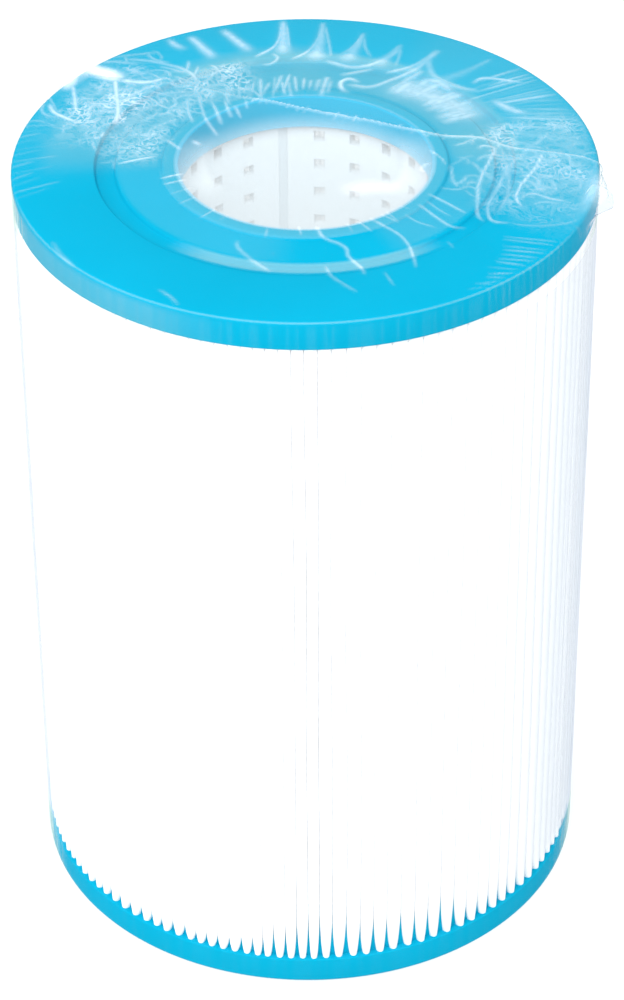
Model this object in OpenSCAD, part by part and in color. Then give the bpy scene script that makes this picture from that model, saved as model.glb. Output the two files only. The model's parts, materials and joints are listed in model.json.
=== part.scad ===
// Pleated cartridge for a pool or spa filter: a folded sheet of filter cloth around
// a windowed core, with both ends potted into cast, open-centred end caps.
// Millimetres. The axis is Z, the bottom cap stands on Z = 0 and the front looks along -Y.

/* [Overall] */
// Outer diameter of both end caps
cap_d = 125; // [100:0.5:180]
// Height over both end caps
overall_h = 179.5; // [100:0.5:500]
// Diameter of the open bore through both end caps
bore_d = 54; // [40:0.5:60]

/* [End caps] */
// Height of a cap's outer side
cap_h = 6.6; // [5.6:0.1:14]
// Rounding of a cap's outer edge
cap_edge_r = 0.8; // [0.2:0.1:2]
// Width of the flat lip around the bore
lip_w = 3.4; // [1.5:0.1:6]
// Depth of the shallow recess outside the lip
recess_depth = 0.6; // [0.2:0.1:1]
// Distance of the ring groove's outer edge from the cap's edge
land_w = 17.6; // [12:0.1:22]
// Width of the ring groove at its mouth
groove_w = 4.6; // [2:0.1:8]
// Depth of the ring groove below the cap's outer face
groove_depth = 1.4; // [0.8:0.1:1.8]
// Run of the sloped walls beside the recess and the groove
wall_run = 0.4; // [0.1:0.1:0.8]
// Depth to which the core and the cloth are potted in a cap
pot_depth = 3.6; // [2:0.1:3.6]
// Thickness of cap material between the bore and the core
lining_t = 1.2; // [0.6:0.1:3]
// Run of the bore's lining past the cap's inner face
lining_run = 1.2; // [0:0.1:3]

/* [Core] */
// Wall of the core tube
core_wall = 2; // [1.5:0.1:4]
// Columns around the core, the closed strip counted as one
core_columns = 22; // [12:1:30]
// Width of a window in the core
window_w = 2.4; // [1.5:0.1:4]
// Height of a window in the core
window_h = 2.6; // [1.5:0.1:5]
// Distance from one row of windows to the next
row_pitch = 7.2; // [5.5:0.1:12]
// Least height of plain wall between a cap and the first row
row_margin = 1.4; // [0.5:0.1:6]
// Direction of the closed strip, counted from +X towards +Y
strip_angle = 100; // [0:1:360]
// Width of the shallow channel along the inside of the closed strip
channel_w = 2; // [1:0.1:3]
// Depth of that channel
channel_depth = 0.4; // [0.2:0.1:0.8]

/* [Filter cloth] */
// Number of pleats around the pack
pleat_count = 126; // [80:1:150]
// Thickness of the cloth
cloth_t = 0.5; // [0.3:0.05:0.55]
// Distance of the pleat tips inside the cap's edge
tip_inset = 0.4; // [0.3:0.1:4]
// Gap between the core and the pleat roots
root_gap = 0.3; // [0.1:0.1:3]
// Straight facets that make up one fold
fold_steps = 4; // [2:1:8]

/* [Seam of the cloth] */
// Width of the adhesive bead that joins the two ends of the cloth
seam_w = 8; // [4:0.5:14]
// Distance of the bead's outer edge inside the pleat tips
seam_inset = 4; // [2:0.5:10]

/* [Hidden] */
$fn = 96;

// Reach of a cutting shape past the face that it opens
through = 1;
// Facets of a cap's rounded edge
edge_steps = 6;

cap_r = cap_d / 2;
bore_r = bore_d / 2;

// Radii on a cap's outer face, from the bore outwards
lip_r = bore_r + lip_w;
groove_out_r = cap_r - land_w;
groove_in_r = groove_out_r - groove_w;

// Core: a tube whose ends stand in the caps, outside the bore's lining
core_in_r = bore_r + lining_t;
core_out_r = core_in_r + core_wall;
potted_z = cap_h - pot_depth;
potted_h = overall_h - 2 * potted_z;

// Rows of windows, centred on the bare length between the two caps' linings
bare_z = cap_h + lining_run;
bare_h = overall_h - 2 * bare_z;
row_count = floor((bare_h - 2 * row_margin - window_h) / row_pitch) + 1;
first_row_z = overall_h / 2 - (row_count - 1) * row_pitch / 2;
column_step = 360 / core_columns;

// Pleats: flat flanks on radial planes, a quarter of the pitch either side of each tip,
// joined by folds that touch the flanks
pitch = 360 / pleat_count;
quarter = pitch / 4;
tip_centre = (cap_r - tip_inset - cloth_t / 2) / (1 + sin(quarter));
tip_fold_r = tip_centre * sin(quarter);
root_centre = (core_out_r + root_gap + cloth_t / 2) / (1 - sin(quarter));
root_fold_r = root_centre * sin(quarter);

// The seam closes the valley at the back
seam_valley = round(90 / pitch - 0.5);
seam_angle = (seam_valley + 0.5) * pitch;
seam_out_r = cap_r - tip_inset - seam_inset;
seam_in_r = seam_out_r - seam_w;

// Point at a radius and an angle from the axis
function polar(r, a) = [r * cos(a), r * sin(a)];

// Points of one fold: an arc about a centre on the axis line at angle a
function fold(centre, r, a, from, to) = [
  for (i = [0 : fold_steps])
    polar(centre, a) + polar(r, a + from + (to - from) * i / fold_steps)
];

// One side of the folded cloth: each tip in turn, then the root that follows it
function cloth_side(offset) = [
  for (k = [0 : pleat_count - 1])
    each concat(
      fold(tip_centre, tip_fold_r + offset, k * pitch, -90 - quarter, 90 + quarter),
      fold(root_centre, root_fold_r - offset, (k + 0.5) * pitch, -90 - quarter, -270 + quarter)
    )
];

// Section through the folded cloth
module cloth_section() {
  outside = cloth_side(cloth_t / 2);
  inside = cloth_side(-cloth_t / 2);
  last = len(outside) - 1;
  polygon(
    points = concat(outside, inside),
    paths = [[for (i = [0 : last]) i], [for (i = [0 : last]) last + 1 + i]]
  );
}

// Section through the bead that fills one valley from flank to flank
module seam_section() {
  half = cloth_t / 2;
  low = seam_angle - quarter;
  high = seam_angle + quarter;
  polygon([
    polar(seam_in_r, low) + polar(half, low + 90),
    polar(seam_out_r, low) + polar(half, low + 90),
    polar(seam_out_r, high) + polar(half, high - 90),
    polar(seam_in_r, high) + polar(half, high - 90)
  ]);
}

// Section through a cap, outer face down: lip, recess, groove, land, rounded edge and lining
module cap_section() {
  edge = [
    for (i = [0 : edge_steps])
      [cap_r - cap_edge_r, cap_edge_r] + polar(cap_edge_r, -90 + 90 * i / edge_steps)
  ];
  polygon(concat(
    [
      [bore_r, 0],
      [lip_r, 0],
      [lip_r + wall_run, recess_depth],
      [groove_in_r, recess_depth],
      [groove_in_r + wall_run, groove_depth],
      [groove_out_r - wall_run, groove_depth],
      [groove_out_r, 0]
    ],
    edge,
    [
      [cap_r, cap_h],
      [core_in_r, cap_h],
      [core_in_r, cap_h + lining_run],
      [bore_r, cap_h + lining_run]
    ]
  ));
}

module ring(r_in, r_out, h) {
  difference() {
    cylinder(r = r_out, h = h);
    translate([0, 0, -through])
      cylinder(r = r_in, h = h + 2 * through);
  }
}

// A cast cap, outer face on Z = 0, with the seats of the core and of the cloth
module end_cap() {
  difference() {
    rotate_extrude()
      cap_section();
    translate([0, 0, potted_z])
      ring(core_in_r, core_out_r, pot_depth + through);
    translate([0, 0, potted_z])
      linear_extrude(pot_depth + through)
        cloth_section();
  }
}

module bottom_end_cap() {
  color("deepskyblue")
    end_cap();
}

module top_end_cap() {
  color("deepskyblue")
    translate([0, 0, overall_h])
      mirror([0, 0, 1])
        end_cap();
}

module pleated_media() {
  color("white")
    translate([0, 0, potted_z])
      linear_extrude(potted_h)
        cloth_section();
}

module media_seam() {
  color("ivory")
    translate([0, 0, cap_h])
      linear_extrude(overall_h - 2 * cap_h)
        seam_section();
}

// One row of window cutters, leaving out the column of the closed strip
module window_row() {
  for (k = [1 : core_columns - 1])
    rotate([0, 0, strip_angle + k * column_step])
      translate([core_in_r - through, -window_w / 2, -window_h / 2])
        cube([core_wall + 2 * through, window_w, window_h]);
}

module core_tube() {
  color("whitesmoke")
    difference() {
      translate([0, 0, potted_z])
        ring(core_in_r, core_out_r, potted_h);
      for (k = [0 : row_count - 1])
        translate([0, 0, first_row_z + k * row_pitch])
          window_row();
      rotate([0, 0, strip_angle])
        translate([core_in_r - through, -channel_w / 2, bare_z])
          cube([through + channel_depth, channel_w, bare_h]);
    }
}

bottom_end_cap();
top_end_cap();
pleated_media();
media_seam();
core_tube();
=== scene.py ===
"""Looks of a pleated filter cartridge in clear shrink film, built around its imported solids.

Lengths are millimetres in the values below and metres in Blender. Angles round the cartridge are
degrees from the front (-Y), growing towards +X.
"""
import json
import math
import random

import bmesh
import bpy
import numpy as np
from mathutils import Matrix, Vector, noise


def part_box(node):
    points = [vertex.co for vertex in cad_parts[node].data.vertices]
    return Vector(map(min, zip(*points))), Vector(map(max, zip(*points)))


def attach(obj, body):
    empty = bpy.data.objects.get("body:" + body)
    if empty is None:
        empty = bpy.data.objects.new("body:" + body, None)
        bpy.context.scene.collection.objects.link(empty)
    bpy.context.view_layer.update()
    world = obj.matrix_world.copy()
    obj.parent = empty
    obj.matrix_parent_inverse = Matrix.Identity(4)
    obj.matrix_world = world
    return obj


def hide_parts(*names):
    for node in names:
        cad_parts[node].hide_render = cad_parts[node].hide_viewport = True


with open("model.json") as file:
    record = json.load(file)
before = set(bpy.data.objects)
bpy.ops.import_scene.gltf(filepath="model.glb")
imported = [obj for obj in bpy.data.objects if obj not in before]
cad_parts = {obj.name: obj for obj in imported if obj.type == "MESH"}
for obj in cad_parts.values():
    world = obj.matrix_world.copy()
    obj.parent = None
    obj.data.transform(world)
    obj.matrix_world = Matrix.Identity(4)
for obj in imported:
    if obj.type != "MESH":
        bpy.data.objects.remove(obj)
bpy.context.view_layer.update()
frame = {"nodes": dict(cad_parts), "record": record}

MM = 0.001
FULL_TURN = 2 * math.pi

# Sizes that the frame gives
mounts = {mount["name"]: mount for mount in frame["record"]["mounts"]}
bore_r = mounts["top_bore"]["dims"]["r_mm"]
bore_wall = mounts["top_bore"]["dims"]["length_mm"]
cap_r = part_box("top_end_cap")[1].x / MM
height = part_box("top_end_cap")[1].z / MM
media_low, media_high = (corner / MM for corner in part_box("pleated_media"))
core_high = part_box("core_tube")[1] / MM

# Cap profile, as in the solids
LINING_RUN = 1.2
LINING_T = 1.2
LIP_W = 3.4
RECESS_DEPTH = 0.6
LAND_W = 17.6
GROOVE_W = 4.6
GROOVE_DEPTH = 1.4
WALL_RUN = 0.4
CHANNEL_DEPTH = 0.4
CAP_STEPS = 240
EDGE_ROUNDING = 0.32
OUTER_ROUNDING = 0.8
SHARP_RING = math.radians(20)
SAME_RING = 0.01
cap_h = bore_wall - LINING_RUN
groove_out_r = cap_r - LAND_W
groove_in_r = groove_out_r - GROOVE_W
channel_r = bore_r + LINING_T + CHANNEL_DEPTH

# Urethane of the bottom cap that has crept up between the pleats, just behind their tips
CREEP_DEPTH = 1.3
CREEP_H = 15
CREEP_T = 0.6

# Pleats. The flank shares are (distance inside the tips, half width as a share of the local spacing).
PLEATS = 126
CLOTH_T = 0.5
TIP_POINTS = 7
ROOT_POINTS = 3
MIDDLE_LEVELS = 8
SPACING_JITTER = 0.13
POTTED_SHARE = 0.18
SWOLLEN_SHARE = 0.45
SHUT_GAP = 0.02
ROOT_SHARE = 0.31
POTTED_POINTEDNESS = 1.25
SWOLLEN_POINTEDNESS = 0.35
TIP_REACH_JITTER = 0.25
FLANK_SHARES = ((6, 0.31), (13, 0.37), (22, 0.36))
PLEAT_WANDER = 0.3
TAIL_H = 12
# How much closer or wider apart pleats stand in places, the height over which their gaps close,
# what is added to it at the front and right, and the gaps that are left
CROWDING = 0.17
CLOSING_H = 2.1
FRONT_CLOSING_H = 4.9
RIGHT_CLOSING_H = 3
FRONT_GAP = 0.02
GAP_TAIL = 0.12
# Heights above the bottom cap at which the cloth is laid out while its gaps close
OPENING_LEVELS = (0, 0.8, 1.6, 2.5, 3.6, 5, 7, 9.5, 13, 18, 26)
tip_r = media_high.x
root_r = core_high.x + 0.3

# Shrink film. Strengths are how white a fold looks, from 0, clear, to 1, opaque.
FILM_GAP = 0.06
FILM_SKIRT = 9.6
FILM_STEPS = 940
PLAIN_R = 19
PLAIN_RINGS = 12
FACE_RINGS = 80
EDGE_RINGS = 4
SKIRT_RINGS = 8
SIDE_RINGS = 24
CRUMPLE_LIFT = 0.2
# Painted shade: how thick the grey haze on the right of the side sheet is
SIDE_PAINTED_SHADE = 0.28
SIDE_END_H = 14
film_edge_r = OUTER_ROUNDING + FILM_GAP
film_flat_r = cap_r - OUTER_ROUNDING
film_rim = film_flat_r + film_edge_r * math.pi / 2
skirt_end = film_rim + 7

# Film material: how white the clear film is, how white the finest creases of crumpled film are,
# how much more shows where the film is seen edge-on, a painted sheen that is grey on the side sheet,
# painted shade along its outline, from which facing on, which folds are fully white,
# and the scales of its grain, its patches and its fine creases, the last with their sharpness
FILM_CLEAR = 0.001
FILM_CRUMPLE = 0.37
FILM_SHEEN = 1.6
EDGE_ON_FROM = 0.72
FULLY_WHITE = 0.3
GRAIN_SCALE = 700
PATCH_SCALE = 110
FINE_LINES = ((190, 13), (320, 11))
# Tints of pale haze, of grey haze, which is painted shade, and of white folds, partly the film's own white
# and partly painted glints, also used for the painted light of the white haze over the bore
PALE_HAZE = (0.38, 0.54, 0.47)
PAINTED_SHADE_HAZE = (0.52, 0.57, 0.65)
WHITE_FOLD_AND_PAINTED_LIGHT = (0.92, 0.95, 0.97)

# Weld seam across the top, from the left ear to the right ear, as (angle, distance from the axis)
SEAM = (
    (-126, 64), (-131, 53), (-138, 44.5), (-143.5, 38.5), (-152, 30.5), (-163, 26), (-177, 22), (158, 20),
    (139.5, 21.5), (123, 24.5), (115, 27.5), (107.5, 31.5), (103, 38.5), (96, 44), (93, 51), (89.5, 60.5),
    (83, 66),
)
# Single folds of the top sheet, as (strength, width, points)
TOP_FOLDS = (
    # Front
    (0.17, 0.5, ((-24, 34.5), (-22, 37), (-16, 40.5), (-9, 44.5))),
    (0.08, 0.35, ((-10.5, 36.5), (-10, 38))),
    (0.22, 0.45, ((5, 26.5), (7, 31), (12, 34), (13.5, 36.5), (13, 39), (15, 44), (15, 46.5))),
    (0.16, 0.4, ((5.5, 41.5), (6.5, 45.5), (9, 49), (11.5, 52.5))),
    (0.13, 0.35, ((20, 46.5), (20, 52.5))),
    (0.19, 0.4, ((30, 27), (31.5, 30.5), (33, 35.5), (32, 40), (30, 44), (28, 48))),
    (0.13, 0.35, ((42, 43.5), (41, 46.5))),
    (0.14, 0.3, ((-16.5, 27.5), (-15, 32))),
    (0.19, 0.35, ((-31, 58), (-27, 59.5), (-24.5, 61.5))),
    (0.12, 0.5, ((-59, 61), (-54, 62), (-49, 62.5))),
    # Right of the bore
    (0.14, 0.3, ((43.5, 30), (43, 34), (45, 38.5))),
    (0.19, 0.4, ((53, 29.5), (49.5, 36), (48.5, 40.5), (50.5, 43))),
    (0.14, 0.3, ((57, 30), (54, 34.5), (53, 38))),
    (0.2, 0.4, ((62, 29), (59, 35), (57, 40))),
    (0.14, 0.35, ((68, 30.5), (69, 34), (73, 36.5))),
    # Right: folds in an S, a loop and an arc
    (0.24, 0.45, ((96.5, 41), (88, 39), (81, 38), (73.5, 38), (66, 39.5), (58.5, 42), (56, 44.5))),
    (0.24, 0.45, ((89, 43), (80.5, 42.5), (70.5, 42), (64, 42.5), (59, 44.5), (57.5, 46.5), (59, 49.5))),
    (0.2, 0.5, ((92, 45.5), (84.5, 43.5), (73.5, 44.5), (68.5, 45), (61.5, 45.5))),
    (0.3, 0.45, ((93.5, 51), (86, 49), (79, 47), (74.5, 46.5), (70, 47), (66.5, 49.5))),
    (0.24, 0.5, ((69.5, 47.5), (73.5, 49.5), (72.5, 54), (72.5, 58))),
    (0.18, 0.35, ((59, 49.5), (59.5, 52), (61.5, 56), (64.5, 60), (67.5, 62))),
    (0.2, 0.5, ((88.5, 54), (83.5, 57.5), (79, 59), (76, 57.5))),
    # Left
    (0.8, 2.2, ((-125, 64.5), (-129, 62), (-130, 60), (-130.5, 57.5), (-131, 54.5))),
    (0.36, 0.6, ((-114, 61), (-111, 58.5), (-109.5, 55), (-108.5, 52))),
    (0.32, 0.6, ((-123.5, 61.5), (-119.5, 58), (-113, 54))),
    (0.34, 0.6, ((-130.5, 55), (-124.5, 50), (-118, 46), (-110, 43.5))),
    (0.26, 0.6, ((-116.5, 54), (-118.5, 51), (-120.5, 47))),
    (0.32, 0.7, ((-130, 54), (-132.5, 49.5), (-135.5, 47.5), (-139.5, 47))),
    (0.24, 0.6, ((-120, 47), (-125, 47), (-131, 46.5), (-136.5, 45.5))),
    (0.26, 0.4, ((-113, 53.5), (-111.5, 52), (-114, 51.5), (-116, 53))),
    (0.26, 0.4, ((-105.5, 47), (-102, 46), (-104, 45), (-107.5, 45.5))),
    (0.2, 0.4, ((-102.5, 47), (-97.5, 45.5), (-95, 44.5))),
    (0.4, 0.6, ((-106.5, 35), (-109, 34.5), (-110, 33.5))),
    (0.2, 0.5, ((-133, 63.5), (-136, 59), (-139, 55.5))),
    (0.29, 0.4, ((-88.5, 40), (-91, 36), (-94, 31.5))),
    (0.29, 0.35, ((-77, 31.5), (-79, 26.5))),
    (0.24, 0.3, ((-72.5, 31.5), (-73.5, 26.5))),
    (0.55, 1.6, ((-120.5, 61), (-124, 62), (-127, 62.5), (-129.5, 62.5))),
    (0.2, 0.6, ((-137.5, 59.5), (-141, 55.5), (-143.5, 51.5), (-145.5, 48), (-146, 44), (-144, 40))),
    (0.22, 0.6, ((-133, 61.5), (-135, 60.5), (-137, 59))),
    (0.16, 0.5, ((-136, 62), (-139.5, 60), (-145.5, 57))),
    # Back left, below the seam
    (0.19, 0.4, ((-141, 37.5), (-134, 31), (-129, 27.5), (-119, 21.5))),
    (0.19, 0.45, ((-141.5, 33), (-137, 28), (-130, 23.5))),
    (0.19, 0.45, ((-146.5, 32), (-143, 28), (-138.5, 24))),
    (0.18, 0.4, ((-147, 28), (-142, 22.5))),
    (0.16, 0.4, ((-153.5, 29), (-150, 25))),
    (0.21, 0.5, ((-136.5, 37.5), (-129, 32.5), (-123.5, 29))),
    (0.32, 0.6, ((-109.5, 25.5), (-106.5, 23.5))),
    (0.21, 0.5, ((-108, 32), (-100, 27))),
    # Edges of the white flames
    (0.26, 0.45, ((-175, 60), (-174, 53.5), (-171.5, 49), (-166, 46))),
    (0.26, 0.4, ((-176, 60), (-176, 53.5), (-176, 48))),
    (0.2, 0.45, ((176, 58.5), (177, 51.5), (179.5, 46.5), (-176, 43.5))),
    (0.2, 0.4, ((175.5, 59), (174, 51.5), (172.5, 45))),
    (0.2, 0.4, ((166.5, 56), (167.5, 50), (170, 46))),
    (0.18, 0.4, ((166, 55.5), (164.5, 50.5), (161.5, 46.5))),
    (0.18, 0.4, ((156, 53.5), (156.5, 49), (159.5, 45))),
    (0.16, 0.4, ((156, 53), (154.5, 48.5), (153.5, 45))),
    (0.18, 0.6, ((148, 56), (148, 51.5), (149.5, 46), (154.5, 41))),
    # Back right: a hook, strands drawn out to the right and a white smear
    (0.27, 0.6, ((160, 35), (164, 36), (166.5, 34), (164.5, 31), (161.5, 30.5))),
    (0.19, 0.7, ((174, 43), (166, 41), (160.5, 43), (157, 48), (156, 52))),
    (0.18, 0.6, ((168, 37), (161.5, 40), (158.5, 42))),
    (0.19, 0.7, ((164, 33.5), (155.5, 34), (151, 38.5), (147.5, 45.5), (147.5, 50.5), (147.5, 56))),
    (0.18, 0.7, ((148.5, 34), (146.5, 40), (145.5, 46.5))),
    (0.16, 0.8, ((148.5, 52), (142, 46), (133, 45.5), (126.5, 48))),
    (0.21, 3.8, ((146, 36.5), (138, 38), (128, 39), (117, 41))),
    (0.22, 1.3, ((142.5, 43), (137.5, 44), (131.5, 43))),
    (0.26, 0.6, ((131, 49), (131.5, 51.5), (130, 53.5), (127, 55.5), (124, 58))),
    (0.26, 1.2, ((121.5, 48), (116, 49), (113, 50.5), (112, 52))),
)
# White flames on the outer land at the back, from the rim inwards, as
# (strength, widths at both ends, points)
FLAMES = (
    (0.26, (0.9, 1.2), ((-150, 61), (-150, 58), (-151, 55.5))),
    (0.28, (1.1, 1.5), ((-154.5, 60), (-155, 54), (-155.5, 49))),
    (0.28, (1.1, 1.5), ((-162, 60), (-163.5, 54.5), (-165.5, 49))),
    (0.26, (0.8, 2), ((-175.5, 61.5), (-175, 55), (-174, 46.5))),
    (0.2, (0.7, 2.4), ((176, 60.5), (176, 52.5), (177, 43.5))),
    (0.19, (0.6, 2.2), ((166.5, 57), (166.5, 51), (168, 44))),
    (0.16, (0.6, 2), ((156.5, 54.5), (157, 49), (158.5, 43.5))),
    (0.16, (0.6, 1.8), ((147.5, 56), (147.5, 49.5), (148, 43))),
    (0.1, (0.6, 1.8), ((136, 60), (136.5, 52), (138, 45))),
)
# Tangled strands of the top sheet, as
# (strands, (middle angle, spread), (middle distance, spread), strength)
TOP_TANGLES = (
    (75, (-121, 9), (50, 6), 0.22),
    (40, (-133, 6), (47, 5), 0.22),
    (50, (-113, 10), (38, 4.5), 0.2),
    (45, (-140, 9), (40, 4), 0.2),
    (90, (85, 9), (53, 5.5), 0.22),
    (40, (82, 9), (42, 5), 0.2),
)
# Crumpled zones of the top sheet: left, left inside the groove, right and back, as
# (strength, angles, fade, distances, fade)
CRUMPLED = (
    (0.9, (-139, -100), 12, (38, 59), 7),
    (0.6, (-132, -90), 14, (31, 44), 6),
    (0.7, (62, 110), 14, (40, 62), 6),
    (0.7, (-162, -130), 14, (31, 45), 4),
)
# Corners of the bag that stand out from the rim, as (angle, half width in degrees, how far)
EARS = ((-126, 4, 1.6), (-128, 2, 0.9), (77.5, 6, 2.4), (75.5, 1.4, 2))
# Angles of short ticks on the lip
LIP_TICKS = (-66, -58, -44, -37, -3, 19, 24, 36, 39, 47)
# Veil of light on the film over the bore, thickest where the camera sees the core through it
BORE_BAND = (-2, 27.7, 0.8)
BORE_VEIL = 0.06
CORE_VEIL = 0.34
BOTTOM_VEIL = 0.3
SEEN_CORE_Y = -10.6
SEEN_CORE_R = 26
VEIL_FADE = 13
# Pale zones of the top sheet, as (strength, angles, fade, distances, fade): mostly milky film,
# some rows painted highlights and painted light, as marked
TOP_HAZE = (
    (0.13, (-125, -24), 24, (film_rim, skirt_end), 1),
    (0.13, (-180, 180), 1, (27.4, 30.3), 0.5),
    (0.045, (90, 270), 30, (30, 62), 1),
    (0.05, (-105, -8), 16, (31, 40), 1),
    (0.08, (30, 85), 14, (31, 40), 1),
    (0.13, (88, 180), 16, (31, 46), 2),
    (0.12, (150, 216), 14, (42, 46.5), 3),
    (0.04, (62, 152), 12, (45, 62), 3),
    (0.05, (70, 110), 14, (33, 60), 4),
    (0.13, (-182, -136), 14, (31, 49), 4),
    (0.1, (-134, -88), 12, (31, 56), 5),
    # Painted highlight on the front of the groove
    (0.28, (-34, 34), 16, (40.7, 44.2), 0.9),
    # Crease where the film rests on the lip's edge, with a painted highlight along its front
    (0.16, (-82, 56), 20, (30.3, 31), 0.5),
    # Painted light on the film over the bore's lining, at the right and the left
    (0.1, (60, 110), 24, (21, 27.5), 2),
    (0.09, (-110, -60), 24, (21, 27.5), 2),
    # Painted highlight along the front edge of the rim
    (0.22, (-74, 60), 16, (film_flat_r + 0.5, film_flat_r + 0.8), 0.35),
)

# Camera, fitted to the outlines in the photo
CAMERA_ELEVATION = math.radians(36.23)
CAMERA_DISTANCE = 847.5
CAMERA_ROLL = math.radians(-0.355)
LENS = 134.46
AIM_RIGHT = 1.02
AIM_UP = 0.24

# Lamps, as (name, place in metres, size in metres, power), and the small one inside the bore
LAMPS = (
    ("front_lamp", (-0.16, -1.1, 1.5), 1.0, 31),
    ("left_lamp", (-1.3, -0.5, 0.7), 0.8, 6.5),
    ("right_lamp", (1.2, -0.7, 0.7), 0.8, 1.1),
)
BORE_LAMP_R = 8
BORE_LAMP_DEPTH = 8
BORE_LAMP_POWER = 0.012

# Floor and sky
FLOOR_TINT = (0.25, 0.25, 0.25)
FLOOR_GLOW = (0.76, 0.79, 0.81)
FLOOR_DROP = 0.4
SKY = (0.92, 0.97, 1.0)

# Tints, each a dark and a light one that lie close together
CLOTH = (0.81, 0.82, 0.83), (0.86, 0.865, 0.87)
URETHANE = (0.0012, 0.29, 0.445), (0.0018, 0.305, 0.47)
CORE_PLASTIC = (0.35, 0.4, 0.43), (0.38, 0.43, 0.46)
ADHESIVE = (0.78, 0.76, 0.68), (0.86, 0.84, 0.77)
# The floor of the core's channel has one darker tint, painted shade in the recess
CHANNEL_PAINTED_SHADE = (0.26, 0.32, 0.36)


# Shared mesh helpers


def add_piece(name, bm, material, sharp=math.radians(40)):
    """Turns a bmesh into a smooth-shaded piece that rides on the cartridge."""
    mesh = bpy.data.meshes.new(name)
    bm.to_mesh(mesh)
    bm.free()
    mesh.materials.append(material)
    mesh.shade_smooth()
    mesh.set_sharp_from_angle(angle=sharp)
    piece = bpy.data.objects.new(name, mesh)
    bpy.context.scene.collection.objects.link(piece)
    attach(piece, "root")
    return piece


def chain(bm, points):
    """Lays vertices along points, in millimetres, and joins them with edges in a closed loop."""
    verts = [bm.verts.new(Vector(p) * MM) for p in points]
    edges = [bm.edges.new(pair) for pair in zip(verts, verts[1:] + verts[:1])]
    return verts, edges


def spin_profile(bm, profile, steps):
    """Turns a closed profile of (radius, height) points once round the axis."""
    verts, edges = chain(bm, [(r, 0, z) for r, z in profile])
    bmesh.ops.spin(
        bm, geom=verts + edges, cent=(0, 0, 0), axis=(0, 0, 1), angle=FULL_TURN, steps=steps, use_merge=True
    )
    bmesh.ops.remove_doubles(bm, verts=bm.verts, dist=0.001 * MM)
    bmesh.ops.recalc_face_normals(bm, faces=bm.faces)


def turn_over(bm):
    """Turns over what has its outer face at 0, so that this face is the top of the cartridge."""
    turn = Matrix.Translation((0, 0, height * MM)) @ Matrix.Rotation(math.pi, 4, "X")
    bmesh.ops.transform(bm, matrix=turn, verts=bm.verts)


# End caps


def cap_profile():
    """Section through a cap, outer face at 0 and the rest above it."""
    lip_r = bore_r + LIP_W
    lining_r = bore_r + LINING_T
    return [
        (bore_r, 0),
        (lip_r, 0),
        (lip_r + WALL_RUN, RECESS_DEPTH),
        (groove_in_r, RECESS_DEPTH),
        (groove_in_r + WALL_RUN, GROOVE_DEPTH),
        (groove_out_r - WALL_RUN, GROOVE_DEPTH),
        (groove_out_r, 0),
        (cap_r, 0),
        (cap_r, cap_h),
        (lining_r, cap_h),
        (lining_r, cap_h + LINING_RUN),
        (bore_r, cap_h + LINING_RUN),
    ]


def ring_edges(bm, keep):
    """Edges that run round the axis where the section has a corner, if keep(radius, height) says so."""
    found = []
    for edge in bm.edges:
        a, b = (v.co / MM for v in edge.verts)
        radius = math.hypot(a.x, a.y)
        round_axis = abs(radius - math.hypot(b.x, b.y)) < SAME_RING and abs(a.z - b.z) < SAME_RING
        if round_axis and edge.calc_face_angle(0) > SHARP_RING and keep(radius, a.z):
            found.append(edge)
    return found


def round_edges(bm, edges, radius, segments):
    bmesh.ops.bevel(
        bm, geom=edges, offset=radius * MM, offset_type="OFFSET", segments=segments,
        profile=0.5, affect="EDGES", material=-1,
    )


def creep_profile():
    """Section through the urethane that stands up between the pleats, sunk in the cap's inner face."""
    creep_r = tip_r - CREEP_DEPTH
    return [
        (creep_r, cap_h - 1),
        (creep_r, cap_h + CREEP_H),
        (creep_r - CREEP_T, cap_h + CREEP_H),
        (creep_r - 3 * CREEP_T, cap_h - 1),
    ]


def make_cap(name, material, outer_face_up):
    bm = bmesh.new()
    spin_profile(bm, cap_profile(), CAP_STEPS)
    outer = ring_edges(bm, lambda radius, z: radius > cap_r - 0.1 and z < 0.1)
    round_edges(bm, outer, OUTER_ROUNDING, 5)
    rest = ring_edges(bm, lambda radius, z: radius < cap_r - 1.2 or z > cap_h - 0.1)
    round_edges(bm, rest, EDGE_ROUNDING, 3)
    if outer_face_up:
        turn_over(bm)
    else:
        spin_profile(bm, creep_profile(), CAP_STEPS)
    cap = add_piece(name, bm, material)
    return cap


# Pleated cloth


def hill(angle, middle, width, power=2):
    """1 at a middle angle, falling to 0 over about width degrees."""
    return math.exp(-(((angle - middle) / width) ** power))


def pleat_spread(angle):
    """Share by which pleats stand closer or wider apart near an angle from the front."""
    tight = -CROWDING * hill(angle, -6, 16)
    wide = CROWDING * hill(angle, 32, 20)
    return tight + wide


def pleat_angles(rng):
    """Angle of each pleat tip from the front, unevenly spread by hand pressing."""
    steps = []
    for k in range(PLEATS):
        angle = (k / PLEATS - 0.5) * 360
        steps.append(1 + pleat_spread(angle) + rng.uniform(-SPACING_JITTER, SPACING_JITTER))
    scale = 360 / sum(steps)
    angles = []
    angle = -180
    for step in steps:
        angles.append(angle)
        angle += step * scale
    return angles


def wander(k, z):
    """Sideways drift of a pleat along its height, as a share of the pitch."""
    ends = math.sin(math.pi * min(max(z / height, 0), 1))
    return PLEAT_WANDER * ends * noise.noise((k * 0.37, z * 0.012, 4.1))


def closing_height(angle):
    """Height above the bottom cap over which the gaps between pleats near an angle dwindle."""
    front = FRONT_CLOSING_H * hill(angle, 1, 10)
    right = RIGHT_CLOSING_H * hill(angle, 34, 24)
    return CLOSING_H + front + right


def front_gap(angle):
    """Gap left between swollen pleats, widest near the front."""
    return SHUT_GAP + FRONT_GAP * hill(angle, 1, 5, power=4)


def gap_tail(angle):
    """What the last of the dwindling gap adds, on the side where the pleats close slowly."""
    return GAP_TAIL * hill(angle, 20, 26)


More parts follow.
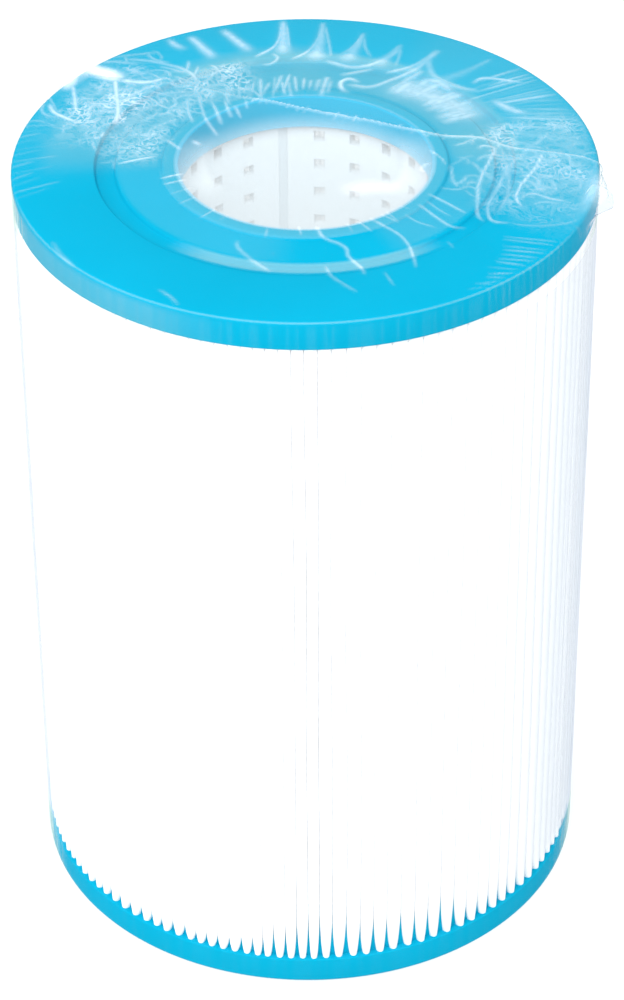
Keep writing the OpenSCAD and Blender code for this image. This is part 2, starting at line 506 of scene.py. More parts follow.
def pleat_path(pleats, z):
    """Middle line of the cloth at one height: points of each pleat, then of the root after it.

    pleats holds the angle, tip depth, closing height, gap and tail of the gap of each pleat.
    """
    tips = [pleat[0] + wander(k, z) * 360 / PLEATS for k, pleat in enumerate(pleats)]
    low = root_r + CLOTH_T / 2
    points = []
    rise_above = max(z - cap_h, 0)
    for k, (_, depth, closing, shut_gap, tail) in enumerate(pleats):
        tip = tips[k]
        before = tip - tips[k - 1] + (360 if k == 0 else 0)
        after = tips[(k + 1) % PLEATS] - tip + (360 if k == PLEATS - 1 else 0)
        swollen = 1 - math.exp(-rise_above / closing)
        gap = shut_gap + tail * math.exp(-rise_above / TAIL_H)
        share = POTTED_SHARE + (SWOLLEN_SHARE - POTTED_SHARE) * swollen
        pointedness = POTTED_POINTEDNESS + (SWOLLEN_POINTEDNESS - POTTED_POINTEDNESS) * swollen
        top = tip_r - depth - CLOTH_T / 2
        halves = flank_half(top, before, share, gap), flank_half(top, after, share, gap)
        rise = pointedness * top * math.radians(sum(halves) / 2)
        for inside, flank in reversed(FLANK_SHARES):
            r = tip_r - inside
            points.append((r, tip - flank_half(r, before, max(flank, share), gap)))
        for i in range(TIP_POINTS):
            turn = -math.pi / 2 + math.pi * i / (TIP_POINTS - 1)
            half = halves[0] if turn < 0 else halves[1]
            points.append((top - rise * (1 - math.cos(turn)), tip + half * math.sin(turn)))
        for inside, flank in FLANK_SHARES:
            r = tip_r - inside
            points.append((r, tip + flank_half(r, after, max(flank, share), gap)))
        half = ROOT_SHARE * after
        for i in range(ROOT_POINTS):
            turn = -math.pi / 2 + math.pi * i / (ROOT_POINTS - 1)
            lift = low * math.radians(half) * (1 - math.cos(turn))
            points.append((low + lift, tip + after / 2 + half * math.sin(turn)))
    return [at_angle(r, angle, z) for r, angle in points]


def flank_half(r, spacing, share, gap):
    """Half width of a pleat in degrees, as wide as share says but with a gap to the next pleat."""
    widest = spacing / 2 - math.degrees((CLOTH_T + gap) / 2 / r)
    return min(share * spacing, widest)


def pleat_levels():
    """Heights at which the cloth is laid out, close together where the pleats open at the bottom."""
    opening = [cap_h + rise for rise in OPENING_LEVELS]
    middle = list(np.linspace(cap_h + 38, height - cap_h - 10, MIDDLE_LEVELS))
    return [media_low.z] + opening + middle + [height - cap_h, media_high.z]


def at_angle(r, angle, z):
    """Point at a radius and an angle from the front."""
    turn = math.radians(angle)
    return (r * math.sin(turn), -r * math.cos(turn), z)


def make_pleats(material):
    rng = random.Random(12)
    pleats = []
    for angle in pleat_angles(rng):
        closing = closing_height(angle) * rng.uniform(0.75, 1.25)
        gap = front_gap(angle) * rng.uniform(0.8, 1.1)
        tail = gap_tail(angle) * rng.uniform(0.5, 1.2)
        pleats.append((angle, rng.uniform(0, TIP_REACH_JITTER), closing, gap, tail))
    levels = pleat_levels()
    bm = bmesh.new()
    place = bm.verts.layers.int.new("place")
    verts, edges = chain(bm, pleat_path(pleats, levels[0]))
    for i, vert in enumerate(verts):
        vert[place] = i
    for z in levels[1:]:
        path = pleat_path(pleats, z)
        grown = bmesh.ops.extrude_edge_only(bm, edges=edges)["geom"]
        edges = [e for e in grown if isinstance(e, bmesh.types.BMEdge)]
        for vert in (v for v in grown if isinstance(v, bmesh.types.BMVert)):
            vert.co = Vector(path[vert[place]]) * MM
    bmesh.ops.recalc_face_normals(bm, faces=bm.faces)
    bm.verts.layers.int.remove(place)
    cloth = add_piece("pleated_cloth", bm, material, sharp=math.radians(70))
    wall = cloth.modifiers.new("cloth_thickness", "SOLIDIFY")
    wall.thickness = CLOTH_T * MM
    wall.offset = 0
    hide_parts("pleated_media")


# Shrink film


def end_film_profile():
    """Section of the sheet over one cap, outer face at 0 and the rest above it: disc, edge and skirt."""
    plain = np.linspace(0, PLAIN_R, PLAIN_RINGS, endpoint=False)
    disc = np.concatenate([plain, np.linspace(PLAIN_R, film_flat_r, FACE_RINGS)])
    turns = np.linspace(0, math.pi / 2, EDGE_RINGS + 1)[1:]
    edge = [
        (film_flat_r + film_edge_r * math.sin(t), OUTER_ROUNDING - film_edge_r * math.cos(t)) for t in turns
    ]
    skirt = np.linspace(OUTER_ROUNDING, FILM_SKIRT, SKIRT_RINGS + 1)[1:]
    return [(r, -FILM_GAP) for r in disc] + edge + [(cap_r + FILM_GAP, z) for z in skirt]


def roll_sheet(profile, steps):
    """A grid rolled round the axis, each of its rows at one (radius, height) of the profile."""
    bm = bmesh.new()
    rows = len(profile) - 1
    bmesh.ops.create_grid(bm, x_segments=steps, y_segments=rows, size=1)
    for vert in bm.verts:
        r, z = profile[round((vert.co.y + 1) / 2 * rows)]
        turn = round((vert.co.x + 1) / 2 * steps) % steps * FULL_TURN / steps
        vert.co = Vector((r * math.sin(turn), -r * math.cos(turn), z)) * MM
    rim = [vert for vert in bm.verts if vert.is_boundary]
    bmesh.ops.remove_doubles(bm, verts=rim, dist=0.0005 * MM)
    bmesh.ops.recalc_face_normals(bm, faces=bm.faces)
    return bm


class FilmField:
    """How folded, crumpled, hazy and raised a sheet is at each vertex, and how its haze is shaded.

    angle is in degrees from the front. reach is the way from the axis along the flat sheet, in
    millimetres. shade is 0 for pale haze, 1 for grey haze, which is painted shade, and -1 for white
    haze, which is painted light.
    """

    def __init__(self, angle, reach):
        self.angle = angle
        self.reach = reach
        self.flat = self.spread(angle, reach)
        self.crease = np.zeros(len(angle))
        self.crumple = np.zeros(len(angle))
        self.haze = np.zeros(len(angle))
        self.shade = np.zeros(len(angle))
        self.relief = np.zeros(len(angle))

    @staticmethod
    def spread(angle, reach):
        turn = np.radians(angle)
        return np.stack([reach * np.sin(turn), -reach * np.cos(turn)], axis=-1)

    def window(self, low, high, soft):
        """1 between two angles, fading to 0 over soft degrees."""
        off = np.abs((self.angle - (low + high) / 2 + 180) % 360 - 180)
        return smooth_step(((high - low) / 2 - off) / soft + 0.5)

    def band(self, low, high, soft):
        """1 between two reaches, fading to 0 over soft millimetres."""
        off = np.abs(self.reach - (low + high) / 2)
        return smooth_step(((high - low) / 2 - off) / soft + 0.5)

    def zone(self, angles, angle_fade, reaches, reach_fade):
        """1 between two angles and two reaches, fading to 0."""
        return self.window(*angles, angle_fade) * self.band(*reaches, reach_fade)

    def mark(self, near, mask, strength, lift):
        """Lays creases of a strength and height on the vertices near, where mask is above 0."""
        self.crease[near] = np.maximum(self.crease[near], strength * mask)
        self.relief[near] = np.maximum(self.relief[near], lift * mask)

    def around(self, points, margin):
        """The vertices in the box round flat points."""
        low, high = points.min(0) - margin, points.max(0) + margin
        return np.flatnonzero(np.all((self.flat > low) & (self.flat < high), axis=1))

    def fold(self, points, width, strength, **form):
        """A raised crease along points given as (angle, reach)."""
        self.ridge(self.spread(*np.array(points, dtype=float).T), width, strength, **form)

    def ridge(self, points, width, strength, lift=0.15, taper=2.5, flare=0.0):
        """A raised crease along points of the flat sheet, thinning out at both ends.

        flare is what its width grows by towards the last point.
        """
        path = smooth_path(points)
        near = self.around(path, 4 * width + 2 * flare)
        spots = self.flat[near]
        steps = np.linalg.norm(np.diff(path, axis=0), axis=1)
        run = np.concatenate([[0], np.cumsum(steps)])
        mask = np.zeros(len(spots))
        for start, end, step, before in zip(path[:-1], path[1:], steps, run):
            along = np.clip((spots - start) @ (end - start) / step**2, 0, 1)
            gap = ((spots - start - along[:, None] * (end - start)) ** 2).sum(1)
            place = before + along * step
            wide = width + flare * (place / run[-1]) ** 1.8
            thin = np.clip(np.minimum(place, run[-1] - place) / taper, 0, 1) ** 0.5
            mask = np.maximum(mask, np.exp(-gap / wide**2) * thin)
        self.mark(near, mask, strength, lift)

    def tangle(self, rng, count, angles, reaches, strength):
        """Short bent creases lying every way, thickest about a place; each range is (middle, spread)."""
        for _ in range(count):
            spot = self.spread(rng.gauss(*angles), min(rng.gauss(*reaches), film_flat_r))
            heading = rng.uniform(0, FULL_TURN)
            bend = rng.uniform(-0.7, 0.7)
            points = [spot]
            for _ in range(rng.randint(3, 7)):
                heading += bend + rng.uniform(-0.3, 0.3)
                step = rng.uniform(0.8, 1.6)
                points.append(points[-1] + step * np.array([math.cos(heading), math.sin(heading)]))
            width = rng.uniform(0.28, 0.5)
            self.ridge(np.array(points), width, strength * rng.uniform(0.3, 1), lift=0.12, taper=1.2)

    def crumples(self, mask, cell, width, seed, strength):
        """Facets of crumpled film where mask is above 0: cells with creased borders."""
        near = np.flatnonzero(mask > 0.01)
        spots = self.flat[near]
        reach = int(math.ceil(80 / cell))
        rng = np.random.default_rng(seed)
        shift = rng.random((2 * reach, 2 * reach, 2))
        place = np.floor(spots / cell).astype(int)
        gaps, names = [], []
        for dx in (-1, 0, 1):
            for dy in (-1, 0, 1):
                home = place + (dx, dy)
                index = home + reach
                point = (home + shift[index[:, 0], index[:, 1]]) * cell
                gaps.append(np.linalg.norm(spots - point, axis=1))
                names.append(index[:, 0] * 2 * reach + index[:, 1])
        order = np.argsort(gaps, axis=0)[:2]
        first, second = np.take_along_axis(np.array(gaps), order, 0)
        own, other = np.take_along_axis(np.array(names), order, 0)
        border = np.exp(-(((second - first) / width) ** 2)) * scatter(own + other) ** 2
        facet = 0.6 * scatter(own) ** 5
        self.mark(near, np.maximum(border, facet) * mask[near], strength, CRUMPLE_LIFT)

    def streaks(self, mask, turns, stretch, width, seed, strength, lift=0.06):
        """Creases running out from the axis where mask is above 0, about turns of them in a half turn."""
        near = np.flatnonzero(mask > 0.01)
        turn = np.radians(self.angle[near])
        spots = zip(turns * np.sin(turn), turns * np.cos(turn), self.reach[near] * stretch + seed)
        wave = np.array([noise.noise(spot) for spot in spots])
        self.mark(near, np.exp(-((wave / width) ** 2)) * mask[near], strength, lift)


def scatter(names):
    """A number from 0 to 1 for each whole number, with no pattern to it."""
    return (np.sin(names * 12.9898) * 43758.5453) % 1


def smooth_step(share):
    share = np.clip(share, 0, 1)
    return share * share * (3 - 2 * share)


def smooth_path(points, parts=5):
    """A curve through points, each span cut in parts."""
    padded = np.concatenate([[2 * points[0] - points[1]], points, [2 * points[-1] - points[-2]]])
    curve = []
    for a, b, c, d in zip(padded, padded[1:], padded[2:], padded[3:]):
        for t in np.arange(parts) / parts:
            curve.append(
                b + 0.5 * t * (c - a + t * (2 * a - 5 * b + 4 * c - d + t * (3 * (b - c) + d - a)))
            )
    return np.array(curve + [points[-1]])


def fold_top(field):
    """The folds that the photo shows on the top sheet."""
    rng = random.Random(7)
    field.fold(SEAM[:6], 0.3, 0.2, lift=0.4, taper=1)
    field.fold(SEAM[4:], 0.32, 0.24, lift=0.5, taper=4)
    stitch_seam(field, rng)
    for strength, width, points in TOP_FOLDS:
        field.fold(points, width, strength)
    for strength, (rim, base), points in FLAMES:
        field.fold(points, rim, strength, taper=2, flare=base - rim)
    # Fan of fine wrinkles at the right front
    for share in np.linspace(0, 1, 13):
        inner = 53.5 - 20.5 * share + rng.uniform(-0.6, 0.6), 50.5 + 10 * share**0.8 + rng.uniform(-1, 1)
        outer = 58 - 22 * share + rng.uniform(-0.5, 0.5)
        field.fold((inner, (outer, film_flat_r)), 0.26, rng.uniform(0.1, 0.24), taper=3)
        over_edge = ((outer, film_flat_r), (outer + 0.5, film_rim + 6))
        field.fold(over_edge, 0.24, rng.uniform(0.03, 0.08), taper=1)
    # Fine wrinkles at the left
    for angle in np.arange(-106, -76, 2.3):
        inner = rng.uniform(52, 58)
        field.fold(((angle - 3, inner), (angle, film_rim)), 0.26, rng.uniform(0.05, 0.2), taper=2)
    # Long streaks at the back right
    for angle in np.arange(94, 130, 1.4):
        inner = rng.uniform(41, 52)
        slant = 2 + 0.2 * (125 - angle) + rng.uniform(-1, 1)
        points = ((angle + slant, inner), (angle, film_flat_r))
        field.fold(points, rng.uniform(0.3, 0.6), rng.uniform(0.05, 0.24), taper=5)
    # Short strokes behind the bore
    for angle in np.arange(-170, -142, 2.6):
        points = ((angle - 5, rng.uniform(34, 38)), (angle + rng.uniform(-1, 1), rng.uniform(27.5, 31)))
        field.fold(points, rng.uniform(0.3, 0.6), rng.uniform(0.08, 0.22), taper=2)
    for angle in np.arange(170, 189, 2.7):
        points = ((angle + rng.uniform(-1, 1), rng.uniform(34, 36.5)), (angle, rng.uniform(27, 30)))
        field.fold(points, rng.uniform(0.35, 0.7), rng.uniform(0.1, 0.2), taper=1.5)
    # Strokes that feather the smear's edges
    smear = random.Random(3)
    for angle in np.arange(118, 148, 1.7):
        points = ((angle, smear.uniform(32.5, 35.5)), (angle - 1, smear.uniform(41.5, 45)))
        field.fold(points, smear.uniform(1, 1.7), smear.uniform(0.16, 0.24), taper=3)
    # Ticks on the lip
    for angle in LIP_TICKS:
        points = ((angle, rng.uniform(26.3, 27.3)), (angle + rng.uniform(-1, 2), rng.uniform(29, 32)))
        field.fold(points, 0.25, rng.uniform(0.08, 0.2), taper=1.5)
    for strength, *place in TOP_HAZE:
        field.haze += strength * field.zone(*place)
    # Light that the film over the bore catches, most of it in front of the core, and a patch of glare
    over_bore = field.band(*BORE_BAND)
    off_core = np.hypot(field.flat[:, 0], field.flat[:, 1] - SEEN_CORE_Y)
    over_core = smooth_step((SEEN_CORE_R - off_core) / VEIL_FADE + 0.5)
    field.haze += (BORE_VEIL + CORE_VEIL * over_core) * over_bore
    field.fold(((38, 15), (52, 17.5), (60, 21.5)), 2, 0.16)
    for count, angles, reaches, strength in TOP_TANGLES:
        field.tangle(rng, count, angles, reaches, strength)
    masks = [field.zone(*place) for _, *place in CRUMPLED]
    left, _, right, _ = masks
    field.crumples(left, 3.2, 0.5, 5, 0.2)
    field.crumples(right, 3.2, 0.5, 8, 0.15)
    field.crumple = np.maximum.reduce([strength * mask for (strength, *_), mask in zip(CRUMPLED, masks)])
    skirt = field.band(film_rim, skirt_end, 1)
    field.streaks(skirt, 34, 0.02, 0.2, 5.9, 0.025)
    field.streaks(skirt * (1 - field.window(-60, 60, 30)), 40, 0.02, 0.16, 1.2, 0.03)
    # Grey haze on the right of the skirt and at the right ear is painted shade; white haze over the bore is
    # painted light
    field.shade = field.window(60, 92, 8) * field.band(film_rim - 0.5, skirt_end, 2) - 0.9 * over_bore
    raise_ears(field)


def stitch_seam(field, rng):
    """Short ticks across the weld seam, where the film puckers."""
    path = smooth_path(field.spread(*np.array(SEAM, dtype=float).T), parts=8)
    for start, end in zip(path[1:-1:2], path[2::2]):
        across = np.array([start[1] - end[1], end[0] - start[0]])
        across = across / np.linalg.norm(across)
        spot = start + (end - start) * rng.random()
        ends = np.array([spot - across * rng.uniform(0.3, 1.8), spot + across * rng.uniform(0.3, 1.8)])
        field.ridge(ends, 0.3, rng.uniform(0.06, 0.2), taper=0.8)


def raise_ears(field):
    """Draws out the corners of the bag at the rim."""
    for angle, half, out in EARS:
        side = np.exp(-(((field.angle - angle) / half) ** 2))
        field.relief += out * side * field.band(film_rim - 1.6, film_rim + 2.2, 3)
        field.crease = np.maximum(field.crease, 0.3 * side**0.5 * field.band(film_rim - 3, film_rim + 3, 4))


def fold_bottom(field):
    """The underside is hidden in the photo, so it gets the same kinds of fold at other places."""
    rng = random.Random(19)
    for angle in np.arange(-180, 180, 7.5):
        points = ((angle + rng.uniform(-2, 2), rng.uniform(38, 54)), (angle, film_flat_r))
        field.fold(points, rng.uniform(0.35, 0.7), rng.uniform(0.06, 0.2), taper=4)
    for low, high, seed in ((-120, -60, 3), (70, 125, 4)):
        mask = field.window(low, high, 16) * field.band(34, 61, 7)
        field.crumples(mask, 4.2, 0.6, seed, 0.5)
        field.crumple = np.maximum(field.crumple, mask)
    # White haze over the bore: painted light
    over_bore = field.band(*BORE_BAND)
    field.haze += BOTTOM_VEIL * over_bore
    field.shade -= over_bore
    skirt = field.band(film_rim, skirt_end, 1)
    field.streaks(skirt, 34, 0.02, 0.2, 7.7, 0.01)


def film_normals(angle, turn, face):
    """Outward direction at an angle from the front; turn is 0 on the face and a quarter on the side."""
    round_axis = np.radians(angle)
    across = np.sin(turn)
    x, y = across * np.sin(round_axis), -across * np.cos(round_axis)
    return np.stack([x, y, face * np.cos(turn)], axis=-1)


def store_film(piece, field, normals):
    """Raises the vertices by the field's relief and keeps its folds and haze for the material."""
    mesh = piece.data
    spots = np.empty(len(mesh.vertices) * 3)
    mesh.vertices.foreach_get("co", spots)
    spots = spots.reshape(-1, 3) + normals * field.relief[:, None] * MM
    mesh.vertices.foreach_set("co", spots.ravel())
    for name in ("crease", "crumple", "haze", "shade"):
        mesh.attributes.new(name, "FLOAT", "POINT").data.foreach_set("value", getattr(field, name))
    mesh.update()
    piece.visible_shadow = False


def vertex_places(piece):
    """Angle from the front in degrees, distance from the axis and height in mm, of each vertex."""
    spots = np.empty(len(piece.data.vertices) * 3)
    piece.data.vertices.foreach_get("co", spots)
    x, y, z = spots.reshape(-1, 3).T / MM
    return np.degrees(np.arctan2(x, -y)), np.hypot(x, y), z


def make_end_film(name, material, make_folds, on_top):
    bm = roll_sheet(end_film_profile(), FILM_STEPS)
    if on_top:
        turn_over(bm)
    sheet = add_piece(name, bm, material)
    angle, r, z = vertex_places(sheet)
    depth = height - z if on_top else z
    turn = np.arctan2(np.maximum(r - film_flat_r, 0), np.maximum(OUTER_ROUNDING - depth, 0))
    reach = np.where(r > film_flat_r, film_flat_r + film_edge_r * turn, r)
    reach = reach + np.maximum(depth - OUTER_ROUNDING, 0)
    field = FilmField(angle, reach)
    make_folds(field)
    store_film(sheet, field, film_normals(angle, turn, 1 if on_top else -1))


def make_side_film(material):
    r = cap_r + FILM_GAP
    low, high = FILM_SKIRT, height - FILM_SKIRT
    bm = roll_sheet([(r, z) for z in np.linspace(low, high, SIDE_RINGS)], FILM_STEPS)
    sheet = add_piece("film_side", bm, material)
    angle, _, z = vertex_places(sheet)
    field = FilmField(angle, z)
    ends = smooth_step((z - low) / SIDE_END_H) * smooth_step((high - z) / SIDE_END_H)
    field.streaks(ends, 30, 0.01, 0.1, 4.4, 0.02, lift=0.08)
    # Painted shade: grey haze on the right of the side sheet, and a grey tint over all of it
    field.haze += SIDE_PAINTED_SHADE * field.window(50, 124, 36)
    field.shade += 1
    store_film(sheet, field, film_normals(angle, np.full(len(angle), math.pi / 2), 1))


# Materials


class Nodes:
    """Short hand for building one node tree."""

    def __init__(self, tree):
        self.tree = tree

    def add(self, kind, **settings):
        node = self.tree.nodes.new(kind)
        for name, value in settings.items():
            setattr(node, name, value)
        return node

    def link(self, out, into):
        self.tree.links.new(out, into)

    def feed(self, into, given):
        """Sets an input to a number, or links a socket to it."""
        if isinstance(given, (int, float)):
            into.default_value = given
        else:
            self.link(given, into)

    def value(self, operation, a, b=0.0, clamp=False):
        """A math node; a and b are numbers or sockets."""
        node = self.add("ShaderNodeMath", operation=operation, use_clamp=clamp)
        for socket, given in zip(node.inputs, (a, b)):
            self.feed(socket, given)
        return node.outputs[0]

    def texture(self, place, scale, detail=2, distortion=0):
        """A noise; its scale is a number or a socket."""
        node = self.add("ShaderNodeTexNoise")
        self.link(place, node.inputs["Vector"])
        self.feed(node.inputs["Scale"], scale)
        node.inputs["Detail"].default_value = detail
        node.inputs["Distortion"].default_value = distortion
        return node.outputs["Fac"]

    def ramp(self, share, tints, ends):
        """A colour that goes from one tint to the other while share goes from end to end."""
        node = self.add("ShaderNodeValToRGB")
        for stop, tint, end in zip(node.color_ramp.elements, tints, ends):
            stop.color = (*tint, 1)
            stop.position = end
        self.link(share, node.inputs["Fac"])
        return node.outputs["Color"]

    def bump(self, relief, strength, distance):
        """The normal of a surface with a relief; distance is in millimetres."""
        node = self.add("ShaderNodeBump")
        node.inputs["Strength"].default_value = strength
        node.inputs["Distance"].default_value = distance * MM
        self.link(relief, node.inputs["Height"])
        return node.outputs["Normal"]


def new_material(name):
    material = bpy.data.materials.new(name)
    material.use_nodes = True
    nodes = Nodes(material.node_tree)
    shader = material.node_tree.nodes["Principled BSDF"]
    return material, nodes, shader


def cast_skin_group():
    """Slow tint, roughness drift and fine dimple of a moulded or cast surface, on Object coordinates."""
    tree = bpy.data.node_groups.new("cast_skin", "ShaderNodeTree")
    for name in ("Ripple Scale", "Dimple Scale"):
        tree.interface.new_socket(name=name, in_out="INPUT", socket_type="NodeSocketFloat")
    for name in ("Tint", "Roughness", "Height"):
        tree.interface.new_socket(name=name, in_out="OUTPUT", socket_type="NodeSocketFloat")
    nodes = Nodes(tree)
    given = nodes.add("NodeGroupInput")
    out = nodes.add("NodeGroupOutput")
    place = nodes.add("ShaderNodeTexCoord").outputs["Object"]
    ripple = nodes.texture(place, given.outputs["Ripple Scale"], detail=3)
    dimple = nodes.texture(place, given.outputs["Dimple Scale"])
    nodes.link(ripple, out.inputs["Tint"])
    spread = nodes.value("MULTIPLY", dimple, 0.12)
    rough = nodes.value("ADD", nodes.value("MULTIPLY", ripple, 0.16), spread)
    nodes.link(rough, out.inputs["Roughness"])
    nodes.link(nodes.value("ADD", dimple, ripple), out.inputs["Height"])
    return tree


def cast_finish(name, skin, tints, rough_from, bump, gloss):
    """A cast or moulded plastic: two near tints, uneven gloss and a fine dimple."""
    material, nodes, shader = new_material(name)
    group = nodes.add("ShaderNodeGroup", node_tree=skin)
    group.inputs["Ripple Scale"].default_value = 45
    group.inputs["Dimple Scale"].default_value = 900
    tint = nodes.ramp(group.outputs["Tint"], tints, (0.3, 0.7))
    nodes.link(tint, shader.inputs["Base Color"])
    nodes.link(nodes.value("ADD", group.outputs["Roughness"], rough_from), shader.inputs["Roughness"])
    shader.inputs["Specular IOR Level"].default_value = gloss
    nodes.link(nodes.bump(group.outputs["Height"], bump, 0.05), shader.inputs["Normal"])
    return material


def core_finish(skin):
    """White moulded plastic, toned down for the strong light, with painted shade on its channel's floor."""
    material = cast_finish("white_core_plastic", skin, CORE_PLASTIC, rough_from=0.35, bump=0.1, gloss=0.2)
    nodes = Nodes(material.node_tree)
    shader = material.node_tree.nodes["Principled BSDF"]
    tint = shader.inputs["Base Color"].links[0].from_socket
    place = nodes.add("ShaderNodeSeparateXYZ")
    nodes.link(nodes.add("ShaderNodeTexCoord").outputs["Object"], place.inputs["Vector"])
    squares = [nodes.value("POWER", nodes.value("ABSOLUTE", place.outputs[axis]), 2) for axis in "XY"]
    radius = nodes.value("SQRT", nodes.value("ADD", *squares))
    off = nodes.value("ABSOLUTE", nodes.value("SUBTRACT", radius, (channel_r + 0.01) * MM))
    # Painted shade: a darker tint on the floor of the channel
    floor = nodes.add("ShaderNodeMix", data_type="RGBA")
    floor.inputs["B"].default_value = (*CHANNEL_PAINTED_SHADE, 1)
    nodes.link(nodes.value("LESS_THAN", off, 0.05 * MM), floor.inputs["Factor"])
    nodes.link(tint, floor.inputs["A"])
    nodes.link(floor.outputs["Result"], shader.inputs["Base Color"])
    return material


def cloth_finish():
    """White spunbonded cloth: matt, with a felt of short fibres."""
    material, nodes, shader = new_material("spunbond_cloth")
    coords = nodes.add("ShaderNodeTexCoord")
    fibres = []
    for scale in ((260, 260, 2400), (2400, 2400, 320)):
        stretch = nodes.add("ShaderNodeMapping")
        stretch.inputs["Scale"].default_value = scale
        nodes.link(coords.outputs["Object"], stretch.inputs["Vector"])
        fibres.append(nodes.texture(stretch.outputs["Vector"], 1, detail=4))
    felt = nodes.value("MULTIPLY", nodes.value("ADD", *fibres), 0.5)
    nodes.link(nodes.ramp(felt, CLOTH, (0.3, 0.62)), shader.inputs["Base Color"])
    shader.inputs["Roughness"].default_value = 0.9
    shader.inputs["Specular IOR Level"].default_value = 0.2
    nodes.link(nodes.bump(felt, 0.35, 0.08), shader.inputs["Normal"])
    return material


def wavy_lines(nodes, place, scale, sharpness):
    """Thin curling lines along the middle level of a noise."""
    waves = nodes.texture(place, scale, detail=1, distortion=1.8)
    off = nodes.value("ABSOLUTE", nodes.value("SUBTRACT", waves, 0.5))
    return nodes.value("SUBTRACT", 1, nodes.value("MULTIPLY", off, sharpness), clamp=True)


def film_finish():
    """Clear film that shows white where it is folded, and a little where it is hazy or seen edge-on.

    The white of folds is partly the film's own and partly painted glints; grey haze is painted shade
    and white haze is painted light.
    """
    material, nodes, shader = new_material("clear_film")
    place = nodes.add("ShaderNodeTexCoord").outputs["Object"]
    kept = {}
    for name in ("crease", "crumple", "haze", "shade"):
        kept[name] = nodes.add("ShaderNodeAttribute", attribute_name=name).outputs["Fac"]
    grain = nodes.texture(place, GRAIN_SCALE)
    patches = nodes.texture(place, PATCH_SCALE)
    lines = nodes.value("MAXIMUM", *(wavy_lines(nodes, place, *net) for net in FINE_LINES))
    vary = nodes.value("MULTIPLY", nodes.value("SUBTRACT", patches, 0.3), 3, clamp=True)
    fine = nodes.value("MULTIPLY", nodes.value("MULTIPLY", lines, vary), kept["crumple"])
    folded = nodes.value("MAXIMUM", kept["crease"], nodes.value("MULTIPLY", fine, FILM_CRUMPLE))
    mottle = nodes.value("ADD", nodes.value("MULTIPLY", grain, 0.6), 0.7)
    broken = nodes.value("MULTIPLY", folded, mottle)
    # Painted sheen where the film is seen edge-on, grey on the side sheet: painted shade along its outline
    edge_on = nodes.add("ShaderNodeLayerWeight").outputs["Facing"]
    rise = nodes.value("SUBTRACT", edge_on, EDGE_ON_FROM)
    rise = nodes.value("MULTIPLY", rise, 1 / (1 - EDGE_ON_FROM), clamp=True)
    sheen = nodes.value("MULTIPLY", nodes.value("POWER", rise, 2), FILM_SHEEN)
    veil = nodes.value("ADD", nodes.value("ADD", kept["haze"], FILM_CLEAR), sheen)
    nodes.link(nodes.value("ADD", broken, veil, clamp=True), shader.inputs["Alpha"])
    # Grey tint where shade is 1: painted shade
    tint = nodes.add("ShaderNodeMix", data_type="RGBA")
    tint.inputs["A"].default_value = (*PALE_HAZE, 1)
    tint.inputs["B"].default_value = (*PAINTED_SHADE_HAZE, 1)
    nodes.link(kept["shade"], tint.inputs["Factor"])
    # White for folds, partly the film's own and partly painted glints, and painted light where shade is -1
    whiten = nodes.add("ShaderNodeMix", data_type="RGBA")
    whiten.inputs["B"].default_value = (*WHITE_FOLD_AND_PAINTED_LIGHT, 1)
    white = nodes.value("MULTIPLY", broken, 1 / FULLY_WHITE)
    white = nodes.value("SUBTRACT", white, kept["shade"], clamp=True)
    nodes.link(white, whiten.inputs["Factor"])
    nodes.link(tint.outputs["Result"], whiten.inputs["A"])
    nodes.link(whiten.outputs["Result"], shader.inputs["Base Color"])
    shader.inputs["Roughness"].default_value = 0.3
    shader.inputs["Specular IOR Level"].default_value = 0.3
    return material


# Stage


def make_floor():
    bm = bmesh.new()
    bmesh.ops.create_grid(bm, x_segments=1, y_segments=1, size=4)
    mesh = bpy.data.meshes.new("pale_floor")
    bm.to_mesh(mesh)
    bm.free()
    material, _, shader = new_material("pale_floor")
    shader.inputs["Base Color"].default_value = (*FLOOR_TINT, 1)
    shader.inputs["Roughness"].default_value = 0.9
    shader.inputs["Specular IOR Level"].default_value = 0
    shader.inputs["Emission Color"].default_value = (*FLOOR_GLOW, 1)
    shader.inputs["Emission Strength"].default_value = 1
    mesh.materials.append(material)
    floor = bpy.data.objects.new("pale_floor", mesh)
    floor.location.z = -FLOOR_DROP * MM
    bpy.context.scene.collection.objects.link(floor)


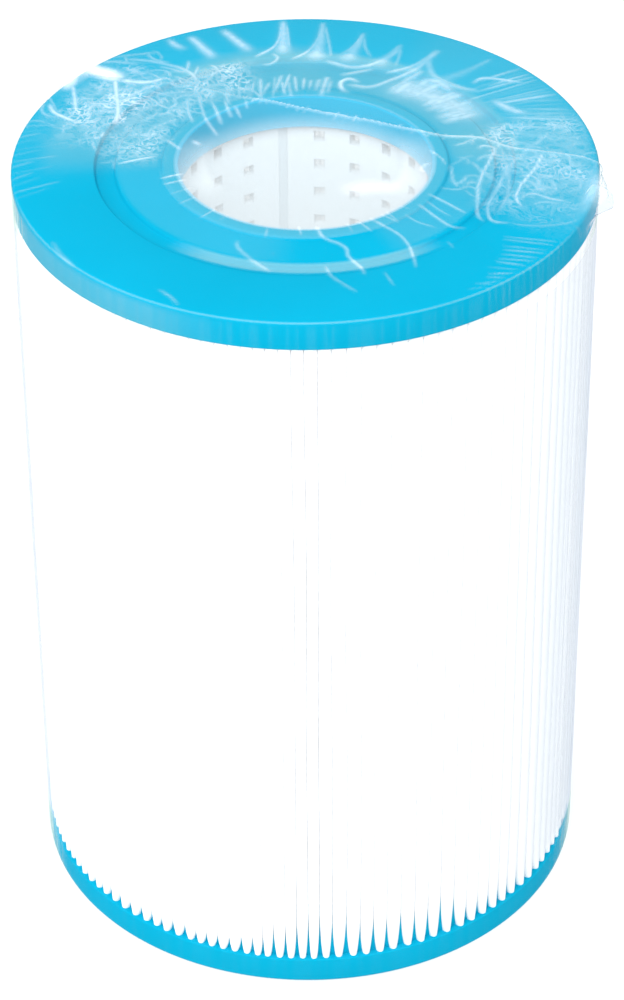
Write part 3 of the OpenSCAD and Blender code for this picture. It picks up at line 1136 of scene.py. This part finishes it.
def make_camera():
    data = bpy.data.cameras.new("camera")
    data.lens = LENS
    data.clip_end = 20
    camera = bpy.data.objects.new("camera", data)
    bpy.context.scene.collection.objects.link(camera)
    forward = Vector((0, math.cos(CAMERA_ELEVATION), -math.sin(CAMERA_ELEVATION)))
    right = Vector((1, 0, 0))
    up = right.cross(forward)
    centre = Vector((0, 0, height / 2))
    spot = centre - forward * CAMERA_DISTANCE + right * AIM_RIGHT + up * AIM_UP
    turn = forward.to_track_quat("-Z", "Y") @ Matrix.Rotation(CAMERA_ROLL, 3, "Z").to_quaternion()
    camera.location = spot * MM
    camera.rotation_euler = turn.to_euler()
    bpy.context.scene.camera = camera


def add_light(name, spot, size, power):
    """A soft square lamp at spot, in metres, facing the cartridge's middle."""
    data = bpy.data.lights.new(name, "AREA")
    data.size = size
    data.energy = power
    lamp = bpy.data.objects.new(name, data)
    lamp.location = spot
    aim = Vector((0, 0, height / 2 * MM)) - Vector(spot)
    lamp.rotation_euler = aim.to_track_quat("-Z", "Y").to_euler()
    bpy.context.scene.collection.objects.link(lamp)


def add_bore_lamp():
    """A faint lamp in the bore, for the light that reaches its wall through the cloth."""
    data = bpy.data.lights.new("bore_lamp", "POINT")
    data.shadow_soft_size = BORE_LAMP_R * MM
    data.energy = BORE_LAMP_POWER
    lamp = bpy.data.objects.new("bore_lamp", data)
    lamp.location = (0, 0, (height - BORE_LAMP_DEPTH) * MM)
    lamp.visible_camera = False
    bpy.context.scene.collection.objects.link(lamp)


def make_studio():
    world = bpy.data.worlds.new("studio")
    world.use_nodes = True
    bpy.context.scene.world = world
    sky = world.node_tree.nodes["Background"]
    sky.inputs["Color"].default_value = (*SKY, 1)
    sky.inputs["Strength"].default_value = 1
    for lamp in LAMPS:
        add_light(*lamp)
    add_bore_lamp()
    scene = bpy.context.scene
    scene.view_settings.view_transform = "Standard"
    scene.view_settings.look = "None"


make_camera()
make_floor()
make_studio()

skin = cast_skin_group()
urethane = cast_finish("blue_urethane", skin, URETHANE, rough_from=0.3, bump=0.15, gloss=0.01)
core_plastic = core_finish(skin)
adhesive = cast_finish("milky_adhesive", skin, ADHESIVE, rough_from=0.25, bump=0.3, gloss=0.4)

top_cap = make_cap("top_cap", urethane, True)
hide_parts("top_end_cap")
bottom_cap = make_cap("bottom_cap", urethane, False)
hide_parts("bottom_end_cap")
make_pleats(cloth_finish())

film = film_finish()
make_end_film("film_top", film, fold_top, True)
make_end_film("film_bottom", film, fold_bottom, False)
make_side_film(film)

for node, material in (("core_tube", core_plastic), ("media_seam", adhesive)):
    frame["nodes"][node].data.materials.clear()
    frame["nodes"][node].data.materials.append(material)
